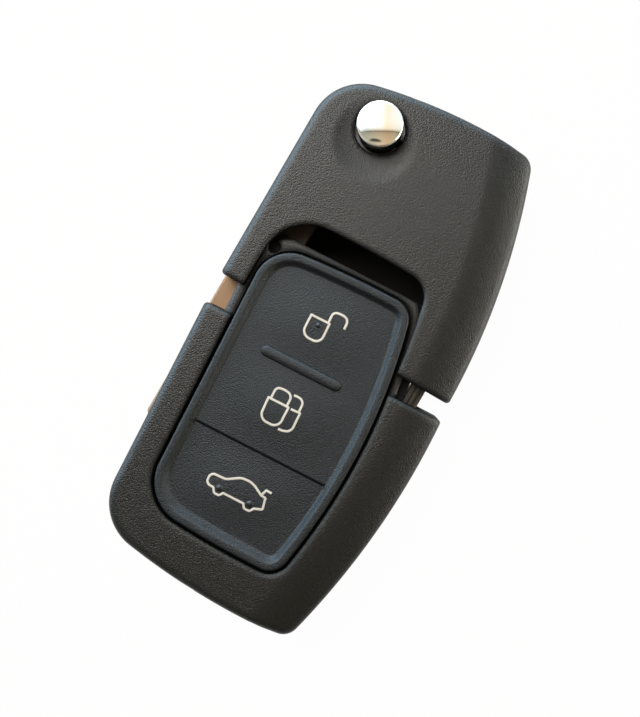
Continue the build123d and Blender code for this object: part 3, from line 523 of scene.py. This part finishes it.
class Field:
    """One button's field: a closed border in the remote's axes and its crowned surface."""

    def __init__(self, border, pad):
        self.border = border
        self.pad = pad
        self.centre = (border.min(0) + border.max(0)) / 2

    def height(self, points):
        """Level of the field plus crown * (1 - u^2)^2 * (1 - v^2)^2, with u from -1 to 1 between
        the border's sides at that height and v from -1 to 1 between its lower and upper end."""
        x, y = points[..., 0], points[..., 1]
        left, right = border_sides(self.border, y)
        low, high = self.border[:, 1].min(), self.border[:, 1].max()
        u = np.clip((2 * x - left - right) / np.maximum(right - left, 0.01 * MM), -1, 1)
        v = np.clip((2 * y - low - high) / (high - low), -1, 1)
        crown = self.pad.crown * (1 - u**2) ** 2 * (1 - v**2) ** 2
        return field_levels(y, self.pad) + crown

    def solid(self, name):
        """Rings that grow from the centre to the border over the crowned top, then go down the
        side and back under it."""
        shares = np.linspace(0.04, 1, 28)
        flats = [self.centre + (self.border - self.centre) * share for share in shares]
        level = field_levels(self.border[:, 1], self.pad) - FIELD_THICK
        rings = [at_level(flat, self.height(flat)) for flat in flats]
        rings += [at_level(self.border, level), at_level(flats[0], level.min())]
        return ring_mesh(name, on_remote(rings))


def pad_fields(pad):
    """The three fields, cut from the rim's foot at the ridge and the crease."""
    foot = fields_border(pad)
    spans = {"unlock": (RIDGE, FAR), "lock": (CREASE + CREASE_ABOVE, RIDGE),
             "boot": (-FAR, CREASE - CREASE_BELOW)}
    return {name: Field(cut_border(foot, *span), pad) for name, span in spans.items()}


def pad_ridge(pad):
    """A long bar between the upper buttons.  Its half width is w * sqrt(1 - e^2), with e the share
    of the way into the domed cap at each end, and its section is a half oval."""
    half = pad.ridge / 2
    start, end = RIDGE_ENDS
    cap = half * (1 - np.cos(np.linspace(0.15, pi / 2, 10)))
    between = np.linspace(start + half, end - half, 40)[1:-1]
    x = np.concatenate([start + cap, between, end - cap[::-1]])
    into = np.clip(np.maximum(start + half - x, x - end + half) / half, 0, 1)
    width = half * np.sqrt(1 - into**2)
    angle = np.linspace(0, pi, 17)
    level = PAD_HIGH - pad.sunk
    y = RIDGE + width[:, None] * np.cos(angle)
    z = level + RIDGE_RISE * np.sqrt(width / half)[:, None] * np.sin(angle) ** 0.8
    top = np.stack([np.repeat(x[:, None], len(angle), 1), y, z], -1)
    under = top[:, [-1, 0]].copy()
    under[..., 2] = level - RIDGE_FOOT
    return ring_mesh("pad_ridge", on_remote(np.concatenate([top, under], 1)))


def pad_crease(pad):
    """The step down to the lowest button with a fine groove in it: one section, y and z from the
    crease at the upper field's level, carried from rim to rim."""
    step = pad.step / MM
    section = np.array([
        (0.29, -0.004), (0.14, -0.015), (0.04, -0.07), (-0.02, -0.2), (-0.06, -0.44),
        (-0.13, -0.5), (-0.19, -0.46), (-0.25, -step - 0.05), (-0.31, -step - 0.01),
        (-0.39, -step - 0.004), (-0.39, -0.9), (0.29, -0.9)]) * MM
    left, right = border_sides(fields_border(pad), np.array([CREASE]))
    x = np.linspace(left[0] - CREASE_TUCK, right[0] + CREASE_TUCK, 60)
    rings = np.empty((len(x), len(section), 3))
    rings[..., 0] = x[:, None]
    rings[..., 1] = CREASE + section[:, 0]
    rings[..., 2] = PAD_HIGH - pad.sunk + section[:, 1]
    return ring_mesh("pad_crease", on_remote(rings))


def rounded_path(corners, closed=False, step=0.05 * MM):
    """A line through corners (x, y, radius) in millimetres, each bend an arc that touches both of
    its runs; the arc starts radius * tan(half the turn) before the corner."""
    corners = [(np.array(c[:2]) * MM, (c[2] if len(c) > 2 else 0) * MM) for c in corners]
    count = len(corners)
    path = []
    for i, (here, radius) in enumerate(corners):
        if not closed and i in (0, count - 1):
            path.append(here[None])
            continue
        back = corners[i - 1][0] - here
        ahead = corners[(i + 1) % count][0] - here
        back, ahead = back / np.linalg.norm(back), ahead / np.linalg.norm(ahead)
        turn = pi - np.arccos(np.clip(back @ ahead, -1, 1))
        if radius == 0 or turn < 1e-3:
            path.append(here[None])
            continue
        run = radius * np.tan(turn / 2)
        bisector = (back + ahead) / np.linalg.norm(back + ahead)
        centre = here + bisector * radius / np.cos(turn / 2)
        start, end = here + back * run - centre, here + ahead * run - centre
        arc, _ = arc_points(centre, radius, atan2(start[1], start[0]), atan2(end[1], end[0]), 9)
        path.append(np.vstack([arc, (centre + end)[None]]))
    points = np.vstack(path)
    if closed:
        points = np.vstack([points, points[:1]])
    runs = np.r_[0, np.cumsum(np.hypot(*np.diff(points, axis=0).T))]
    keep = np.r_[True, np.diff(runs) > 1e-7]
    points, runs = points[keep], runs[keep]
    total = max(int(runs[-1] / step), 2)
    samples = np.linspace(0, runs[-1], total + 1)
    line = np.column_stack([np.interp(samples, runs, points[:, k]) for k in (0, 1)])
    return line[:-1] if closed else line


def stroke(name, line, closed, width, rise, height):
    """A line on the pad: a low rounded section, width wide and rise high, carried along the line
    and laid on the field's surface."""
    if closed:
        along = np.roll(line, -1, 0) - np.roll(line, 1, 0)
    else:
        along = np.gradient(line, axis=0)
    along /= np.hypot(along[:, 0], along[:, 1])[:, None]
    side = np.column_stack([-along[:, 1], along[:, 0]])
    half = width / 2
    section = [(-half, -LINE_FOOT), (-half, 0.5 * rise), (-0.8 * half, rise), (0.8 * half, rise),
               (half, 0.5 * rise), (half, -LINE_FOOT)]
    rings = np.stack([at_level(line + side * s, height(line + side * s) + z)
                      for s, z in section], 1)
    return ring_mesh(name, on_remote(rings), wrap=closed)


def pip(name, centre, radius, height):
    """A low dome: rings shrink by the cosine and rise by the sine of one angle."""
    around = np.linspace(0, 2 * pi, 36, endpoint=False)
    circle = np.column_stack([np.cos(around), np.sin(around)])
    foot = height(centre[None]) - PIP_FOOT
    rings = [at_level(centre + radius * cos(angle) * circle, foot + PIP_RISE * sin(angle))
             for angle in np.radians([0, 15, 30, 45, 60, 75, 86])]
    return ring_mesh(name, on_remote(rings))


# Materials


def feed(socket, value):
    """Links a socket to another node's output, or writes a number or a colour into it."""
    if isinstance(value, bpy.types.NodeSocket):
        socket.id_data.links.new(value, socket)
    else:
        socket.default_value = value


def add_node(tree, kind, inputs=None, **settings):
    """A node with its settings and with its inputs fed by name or number."""
    node = tree.nodes.new(kind)
    for name, value in settings.items():
        setattr(node, name, value)
    for name, value in (inputs or {}).items():
        feed(node.inputs[name], value)
    return node


def new_material(name):
    """A node material, its tree, its shader and its object coordinates."""
    material = bpy.data.materials.new(name)
    material.use_nodes = True
    tree = material.node_tree
    tree.nodes.clear()
    shader = add_node(tree, "ShaderNodeBsdfPrincipled")
    add_node(tree, "ShaderNodeOutputMaterial", {"Surface": shader.outputs["BSDF"]})
    return material, tree, shader, add_node(tree, "ShaderNodeTexCoord").outputs["Object"]


def noise(tree, place, size, detail=2.0, rough=0.5):
    """Noise whose features are about size across."""
    inputs = {"Vector": place, "Scale": 1 / size, "Detail": detail, "Roughness": rough}
    return add_node(tree, "ShaderNodeTexNoise", inputs).outputs["Fac"]


def cells(tree, place, size):
    """Distance to the nearest of random points about size apart: low in the middle of a pebble."""
    inputs = {"Vector": place, "Scale": 1 / size, "Smoothness": 0.35}
    return add_node(tree, "ShaderNodeTexVoronoi", inputs, feature="SMOOTH_F1").outputs["Distance"]


def spread(tree, value, low, high, new_low, new_high):
    """A value mapped from one range to another."""
    inputs = {"Value": value, "From Min": low, "From Max": high, "To Min": new_low,
              "To Max": new_high}
    return add_node(tree, "ShaderNodeMapRange", inputs).outputs["Result"]


def mixed(tree, share, first, second, blend="MIX"):
    """Colour from first to second as share goes from 0 to 1."""
    return add_node(tree, "ShaderNodeMix", {"Factor": share, 6: first, 7: second},
                    data_type="RGBA", blend_type=blend).outputs[2]


def combined(tree, operation, first, second):
    """Math on two sockets or numbers."""
    return add_node(tree, "ShaderNodeMath", {0: first, 1: second}, operation=operation).outputs[0]


def bump(tree, shader, height, distance, worn=0):
    """Bumps the shader's normal by a height from 0 to 1 times distance, over edges worn round."""
    inputs = {"Strength": 1, "Distance": distance, "Height": height}
    if worn:
        edges = add_node(tree, "ShaderNodeBevel", {"Radius": worn}, samples=6)
        inputs["Normal"] = edges.outputs["Normal"]
    feed(shader.inputs["Normal"], add_node(tree, "ShaderNodeBump", inputs).outputs["Normal"])


def shade(colour, factor):
    """A colour made lighter or darker, with its alpha."""
    return (*(min(c * factor, 1) for c in colour[:3]), 1)


def grained(name, colour, grain, depth, roughness, gloss, worn=0):
    """Moulded plastic with a pebbled grain: cells broken up by noise, with a painted highlight on
    the pebbles and painted shade between them, over slow changes of tone, and a few bright specks."""
    material, tree, shader, place = new_material(name)
    fine = noise(tree, place, grain * 0.5, 3.0, 0.6)
    height = combined(tree, "SUBTRACT", combined(tree, "MULTIPLY", fine, 0.6),
                      cells(tree, place, grain))
    # Painted highlight and painted shade: pebble tops up to 60% lighter, the hollows between them
    # up to 60% darker
    tone = spread(tree, height, -0.5, 0.3, 0, 1)
    pebbled = mixed(tree, tone, shade(colour, 0.4), shade(colour, 1.6))
    slow = spread(tree, noise(tree, place, 9 * MM), 0.3, 0.7, 0, 0.35)
    toned = mixed(tree, slow, pebbled, shade(colour, 0.86))
    # A few bright specks, twelve times as light as the colour
    bright_specks = spread(tree, noise(tree, place, grain * 0.7, 0.0), 0.77, 0.82, 0, 0.6)
    feed(shader.inputs["Base Color"], mixed(tree, bright_specks, toned, shade(colour, 12)))
    rough = spread(tree, fine, 0.3, 0.7, roughness - 0.08, roughness + 0.1)
    feed(shader.inputs["Roughness"], rough)
    feed(shader.inputs["Specular IOR Level"], gloss)
    bump(tree, shader, height, depth, worn)
    return material


def smooth_plastic(name, colour, roughness, gloss=0.5):
    """Plain moulded plastic: faint flow marks in tone and gloss and a slight orange peel."""
    material, tree, shader, place = new_material(name)
    flow = noise(tree, place, 3 * MM, 3.0)
    feed(shader.inputs["Base Color"], mixed(tree, flow, shade(colour, 0.8), shade(colour, 1.2)))
    rough = spread(tree, flow, 0.3, 0.7, roughness - 0.05, roughness + 0.08)
    feed(shader.inputs["Roughness"], rough)
    feed(shader.inputs["Specular IOR Level"], gloss)
    bump(tree, shader, noise(tree, place, 0.35 * MM), 0.006 * MM)
    return material


def metal(name, colour, roughness, size, stretch=(1, 1, 1), depth=0.002 * MM, tone=0.08, bare=1.0,
          shade_span=None, dark=1.0):
    """Metal with a fine surface: noise stretched along the way it was brushed or cast.  Along Y it
    goes dark, as painted shade, from the first height of a shaded span to the second.  Bare is
    the share of plain metal, and the rest is a dull film."""
    material, tree, shader, place = new_material(name)
    mapping = add_node(tree, "ShaderNodeMapping", {"Vector": place, "Scale": stretch})
    marks = noise(tree, mapping.outputs["Vector"], size, 3.0, 0.6)
    final = mixed(tree, marks, shade(colour, 1 - tone), shade(colour, 1 + tone))
    if shade_span:
        # Painted shade: the colour darkens along Y over the shaded span
        height = add_node(tree, "ShaderNodeSeparateXYZ", {"Vector": place}).outputs["Y"]
        final = mixed(tree, spread(tree, height, *shade_span, 0, 1), final, shade(colour, dark))
    feed(shader.inputs["Base Color"], final)
    feed(shader.inputs["Metallic"], bare)
    rough = spread(tree, marks, 0.3, 0.7, max(roughness - 0.05, 0.02), roughness + 0.06)
    feed(shader.inputs["Roughness"], rough)
    bump(tree, shader, marks, depth)
    return material


def surroundings(tree, way, along, colours):
    """Colour of the surroundings in each direction: from 0 against the given way to 1 along it."""
    lie = add_node(tree, "ShaderNodeVectorMath", {0: way, 1: along}, operation="DOT_PRODUCT")
    place = spread(tree, lie.outputs["Value"], -1, 1, 0, 1)
    ramp = add_node(tree, "ShaderNodeValToRGB", {"Fac": place})
    steps = ramp.color_ramp.elements
    for end in (0, -1):
        steps[end].position, steps[end].color = colours[end][0], (*colours[end][1], 1)
    for position, colour in colours[1:-1]:
        steps.new(position).color = (*colour, 1)
    return ramp.outputs["Color"]


# Dressing the CAD nodes


def merged_copy(name, node):
    """A CAD node's triangles with their shared corners joined and their own smooth normals."""
    source = frame["nodes"][node].data
    points = np.empty(len(source.vertices) * 3)
    source.vertices.foreach_get("co", points)
    corners = np.empty(len(source.loops), np.int32)
    source.loops.foreach_get("vertex_index", corners)
    normals = np.empty(len(source.loops) * 3)
    source.corner_normals.foreach_get("vector", normals)
    shared, place = np.unique(np.round(points.reshape(-1, 3), 7), axis=0, return_inverse=True)
    faces = place.reshape(-1)[corners].reshape(-1, 3)
    normals = normals.reshape(-1, 3, 3)
    whole = (faces != np.roll(faces, 1, 1)).all(1)
    mesh = bpy.data.meshes.new(name)
    mesh.from_pydata(shared.tolist(), [], faces[whole].tolist())
    mesh.shade_smooth()
    mesh.normals_split_custom_set(normals[whole].reshape(-1, 3).tolist())
    piece = bpy.data.objects.new(name, mesh)
    bpy.context.scene.collection.objects.link(piece)
    return piece


def outer_faces(mesh, on_case):
    """Faces on the outside of a cover: those that have the whole cover behind their plane, and
    those near its front that look up, such as the finger dish."""
    count = len(mesh.polygons)
    points = np.empty(len(mesh.vertices) * 3)
    mesh.vertices.foreach_get("co", points)
    centres, normals = np.empty(count * 3), np.empty(count * 3)
    mesh.polygons.foreach_get("center", centres)
    mesh.polygons.foreach_get("normal", normals)
    points, centres, normals = (a.reshape(-1, 3) for a in (points, centres, normals))
    reach = np.concatenate([(part @ points.T).max(1)
                            for part in np.array_split(normals, count // 400 + 1)])
    behind = (centres * normals).sum(1) > reach - FACET_SLACK
    front = (centres[:, 2] > CASE_TOP - FRONT_DEPTH) & (normals[:, 2] > 0.05)
    return (behind | front) & on_case(centres)


def on_head(centres):
    """Past the head's mouth."""
    return centres[:, 1] > HEAD_MOUTH + FINISH_START


def past_shoulder(centres):
    """Past the remote's shoulder, away from its neck, or on the neck's collar."""
    x, y = centres[:, 0] - ROCK["pos_m"][0], centres[:, 1] - ROCK["pos_m"][1]
    past = KNUCKLE[1] + y * cos(TURN) - x * sin(TURN) < -FINISH_START
    return past | (centres[:, 2] > CASE_TOP - FRONT_DEPTH)


def give(material, *nodes):
    """CAD nodes keep their shape and take a material."""
    for node in nodes:
        mesh = frame["nodes"][node].data
        mesh.materials.clear()
        mesh.materials.append(material)


# Operators


# Each cover's node, the shell that stands for it, its body and where its outer finish goes
COVERS = (
    ("head_front_cover", "head_front_shell", "head", on_head),
    ("head_rear_cover", "head_rear_shell", "head", on_head),
    ("remote_front_frame", "remote_front_shell", "remote", past_shoulder),
    ("remote_rear_cover", "remote_rear_shell", "remote", past_shoulder),
)


def soften(piece):
    """Gives the piece its own copy of its mesh."""
    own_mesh(piece)


class KEY_OT_case(Operator):
    """Dress the covers: leather grain outside, plain moulded plastic inside"""
    bl_idname = "key.case"
    bl_label = "Case Covers"

    def execute(self, context):
        look = context.scene.key_case
        case = grained("case_grain", look.colour, look.grain, look.depth, look.roughness,
                       gloss=0.35, worn=look.worn)
        inside = smooth_plastic("case_inside", look.inside, roughness=0.6, gloss=0.12)
        for node, name, body, on_case in COVERS:
            piece = merged_copy(name, node)
            outer = outer_faces(piece.data, on_case)
            for material in (case, inside):
                piece.data.materials.append(material)
            slots = np.where(outer, 0, 1).astype(np.int32)
            piece.data.polygons.foreach_set("material_index", slots)
            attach(piece, body)
            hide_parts(node)
        return {"FINISHED"}


class KEY_OT_pad(Operator):
    """Make the rubber pad: rim, ridge, crease and a crowned field for each button"""
    bl_idname = "key.pad"
    bl_label = "Button Pad"

    def execute(self, context):
        pad = context.scene.key_pad
        rubber = grained("pad_rubber", pad.colour, pad.grain, pad.depth, roughness=0.38,
                         gloss=0.29)
        rim = finish_piece(pad_rim(pad), rubber, "remote")
        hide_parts("button_pad")
        finish_piece(pad_ridge(pad), rubber, "remote")
        finish_piece(pad_crease(pad), rubber, "remote", radians(60))
        for name, field in pad_fields(pad).items():
            piece = finish_piece(field.solid(f"pad_field_{name}"), rubber, "remote")
            soften(piece)
        return {"FINISHED"}


class KEY_OT_marks(Operator):
    """Draw the pictograms on the pad: open padlock, two padlocks and a car with an open boot"""
    bl_idname = "key.marks"
    bl_label = "Pictograms"

    def execute(self, context):
        pad, marks = context.scene.key_pad, context.scene.key_marks
        paint = smooth_plastic("mark_paint", marks.colour, roughness=0.45)
        # The dark edge material is painted shadow of each line's groove
        edge = smooth_plastic("mark_edge", marks.edge, roughness=0.6)
        bare = smooth_plastic("pip_rubber", pad.colour, roughness=0.4, gloss=0.35)
        for name, field in pad_fields(pad).items():
            lines, pips = MARKS[name]
            strokes, groove_shadows = [], []
            for closed, corners in lines:
                line = rounded_path(corners, closed)
                strokes.append(stroke("line", line, closed, marks.width, marks.rise, field.height))
                # Each line's dark edge, a wider strip under it, is painted shadow of its groove
                groove_shadows.append(stroke("border", line + SHADOW_SHIFT, closed,
                                      marks.width + 2 * marks.border, marks.rise * 0.5,
                                      field.height))
            domes = [pip("pip", np.array([x, y]) * MM, radius * MM, field.height)
                     for x, y, radius in pips]
            for label, members, material in (("lines", strokes, paint), ("edges", groove_shadows, edge),
                                             ("pips", domes, bare)):
                if members:
                    piece = join_pieces(f"{name}_{label}", members)
                    finish_piece(piece, material, "remote")
                    soften(piece)
        return {"FINISHED"}


class KEY_OT_metal(Operator):
    """Finish the release button, blade, bow, pins and spring"""
    bl_idname = "key.metal"
    bl_label = "Metal Pieces"

    def execute(self, context):
        look = context.scene.key_metal
        chrome = metal("chrome_plate", look.chrome, roughness=0.05, size=2 * MM, depth=0, tone=0.02)
        # The blade's root is darkened as painted shade
        blade = metal("blade_metal", look.blade, roughness=0.5, size=0.25 * MM,
                      stretch=(1, 0.12, 1), bare=0.2, shade_span=BLADE_ROOT_SHADE, dark=0.16)
        bow = metal("cast_bow", look.bow, roughness=0.45, size=0.3 * MM, depth=0.004 * MM)
        steel = metal("bright_steel", look.steel, roughness=0.25, size=0.3 * MM)
        plated = metal("nickel_plate", look.plated, roughness=0.3, size=0.5 * MM)
        give(chrome, "release_cap")
        give(blade, "key_blade")
        give(bow, "blade_bow")
        give(steel, "blade_roll_pin", "return_spring", "head_screw", "ring_bar")
        give(plated, "coin_cell", "lower_contact", "upper_contact", "crystal")
        return {"FINISHED"}


class KEY_OT_inside(Operator):
    """Finish the barrel, catch, stems, board and chips"""
    bl_idname = "key.inside"
    bl_label = "Inner Pieces"

    def execute(self, context):
        case, look = context.scene.key_case, context.scene.key_inside
        black = smooth_plastic("inner_plastic", shade(case.inside, 0.8), roughness=0.6, gloss=0.12)
        catch = smooth_plastic("catch_plastic", look.catch, roughness=0.35)
        package = smooth_plastic("chip_package", look.chips, roughness=0.5)
        mask = smooth_plastic("solder_mask", look.board, roughness=0.3)
        give(black, "release_barrel", "unlock_stem", "lock_stem", "boot_stem")
        give(catch, "remote_catch")
        give(package, "unlock_switch", "lock_switch", "boot_switch", "transmitter_chip",
             "transponder_chip")
        give(mask, "circuit_board")
        return {"FINISHED"}


class KEY_OT_stage(Operator):
    """Set up the floor, the lamps and the camera"""
    bl_idname = "key.stage"
    bl_label = "Stage"

    def execute(self, context):
        look = context.scene.key_stage
        scene = context.scene
        scene.view_settings.view_transform = "Standard"
        self.floor(scene, look)
        self.world(scene, look)
        self.lamps(scene, look)
        self.camera(scene, look)
        return {"FINISHED"}

    def floor(self, scene, look):
        """A flat square under the part, white to the camera but for the part's shadow."""
        ends = (-FLOOR_HALF, FLOOR_HALF)
        mesh = bpy.data.meshes.new("floor")
        mesh.from_pydata([(x, y, 0) for y in ends for x in ends], [], [(0, 1, 3, 2)])
        floor = bpy.data.objects.new("floor", mesh)
        scene.collection.objects.link(floor)
        floor.location.z = -FLOOR_DROP
        material, tree, shader, _ = new_material("floor_paper")
        feed(shader.inputs["Base Color"], (*look.floor, 1))
        feed(shader.inputs["Roughness"], 0.9)
        feed(shader.inputs["Specular IOR Level"], 0.1)
        glow = add_node(tree, "ShaderNodeEmission", {"Strength": 1})
        rays = add_node(tree, "ShaderNodeLightPath").outputs
        seen = combined(tree, "MAXIMUM", rays["Is Camera Ray"], rays["Is Glossy Ray"])
        mix = add_node(tree, "ShaderNodeMixShader", {
            "Fac": combined(tree, "MULTIPLY", seen, FLOOR_WHITE), 1: shader.outputs["BSDF"],
            2: glow.outputs["Emission"]})
        output = next(n for n in tree.nodes if n.type == "OUTPUT_MATERIAL")
        feed(output.inputs["Surface"], mix.outputs["Shader"])
        mesh.materials.append(material)

    def world(self, scene, look):
        """White where the camera sees it and a plain warm light elsewhere.  A reflection sees
        white beyond the head, a thin dark line overhead and a beige wall with a dark spot towards
        the remote, all of it cooler on the left and warmer on the right."""
        world = bpy.data.worlds.new("studio")
        world.use_nodes = True
        scene.world = world
        tree = world.node_tree
        tree.nodes.clear()
        rays = add_node(tree, "ShaderNodeLightPath").outputs
        way = add_node(tree, "ShaderNodeTexCoord").outputs["Generated"]
        up, right = (-sin(look.turn), cos(look.turn), 0), (cos(look.turn), sin(look.turn), 0)
        room = mixed(tree, 1, surroundings(tree, way, up, ROOM),
                     surroundings(tree, way, right, ROOM_TINT), "MULTIPLY")
        spot = Vector((*SPOT, 0))
        spot.rotate(Euler((0, 0, look.turn)))
        oval = add_node(tree, "ShaderNodeMapping", {
            "Vector": way, "Location": spot, "Rotation": (0, 0, look.turn + SPOT_TURN),
            "Scale": (*SPOT_SIZE, 1000)}, vector_type="TEXTURE")
        away = add_node(tree, "ShaderNodeVectorMath", {0: oval.outputs["Vector"]},
                        operation="LENGTH")
        glow = spread(tree, away.outputs["Value"], *SPOT_EDGE, SPOT_GLOW, ROOM_GLOW)
        sky, seen, white = (
            add_node(tree, "ShaderNodeBackground", {"Color": colour, "Strength": strength})
            for colour, strength in ((SKY_COLOUR, look.sky), (room, glow), (WHITE, 1)))
        surface = sky.outputs["Background"]
        for ray, ground in (("Is Glossy Ray", seen), ("Is Camera Ray", white)):
            surface = add_node(tree, "ShaderNodeMixShader", {
                "Fac": rays[ray], 1: surface, 2: ground.outputs["Background"]}).outputs["Shader"]
        add_node(tree, "ShaderNodeOutputWorld", {"Surface": surface})

    def lamps(self, scene, look):
        """A large soft lamp overhead that lights everything, and two that only add reflections: a
        cool one beyond the head and a low one at the side."""
        centre = (cad_box[0] + cad_box[1]) / 2
        turn = Euler((0, 0, look.turn))
        for name, (colour, size, place) in LAMPS.items():
            lamp = bpy.data.lights.new(f"{name}_lamp", "AREA")
            lamp.shape = "RECTANGLE"
            lamp.energy = getattr(look, name)
            lamp.color = colour
            lamp.size, lamp.size_y = size
            holder = bpy.data.objects.new(lamp.name, lamp)
            scene.collection.objects.link(holder)
            offset = Vector(place)
            offset.rotate(turn)
            holder.location = centre + offset
            holder.rotation_euler = turn
            if name != "overhead":
                holder.rotation_euler = (-offset).to_track_quat("-Z", "Y").to_euler()
                holder.visible_diffuse = False

    def camera(self, scene, look):
        """Straight down on the front, turned so that the head points to the upper right."""
        data = bpy.data.cameras.new("camera")
        data.lens = look.lens
        data.sensor_width = SENSOR
        data.clip_start = 5 * MM
        camera = bpy.data.objects.new("camera", data)
        scene.collection.objects.link(camera)
        off_x, off_y = AXIS_PIXEL[0] - IMAGE[0] / 2, IMAGE[1] / 2 - AXIS_PIXEL[1]
        scale = look.height * SENSOR / (look.lens * max(IMAGE))
        camera.rotation_euler = Euler((0, 0, look.turn))
        place = Vector((off_x * scale, off_y * scale, look.height))
        place.rotate(camera.rotation_euler)
        camera.location = Vector((*CAMERA_AIM, CASE_TOP)) + place
        data.shift_x, data.shift_y = -off_x / max(IMAGE), -off_y / max(IMAGE)
        scene.camera = camera


OPERATORS = (KEY_OT_case, KEY_OT_pad, KEY_OT_marks, KEY_OT_metal, KEY_OT_inside, KEY_OT_stage)


class KEY_PT_panel(Panel):
    """Lists the pieces and their sizes and colours"""
    bl_idname = "KEY_PT_panel"
    bl_label = "Folding Key"
    bl_space_type = "VIEW_3D"
    bl_region_type = "UI"
    bl_category = "Key"

    def draw(self, context):
        for group in GROUPS:
            look = getattr(context.scene, group)
            box = self.layout.box()
            # The first two, rna_type and name, are Blender's own
            for name in look.bl_rna.properties.keys()[2:]:
                box.prop(look, name)
        for operator in OPERATORS:
            self.layout.operator(operator.bl_idname)


CLASSES = (*GROUPS.values(), *OPERATORS, KEY_PT_panel)


def register():
    for cls in CLASSES:
        bpy.utils.register_class(cls)
    for name, group in GROUPS.items():
        setattr(bpy.types.Scene, name, PointerProperty(type=group))


def unregister():
    for name in GROUPS:
        delattr(bpy.types.Scene, name)
    for cls in reversed(CLASSES):
        bpy.utils.unregister_class(cls)


def main():
    register()
    bpy.ops.key.case()
    bpy.ops.key.pad()
    bpy.ops.key.marks()
    bpy.ops.key.metal()
    bpy.ops.key.inside()
    bpy.ops.key.stage()


if __name__ == "__main__":
    main()
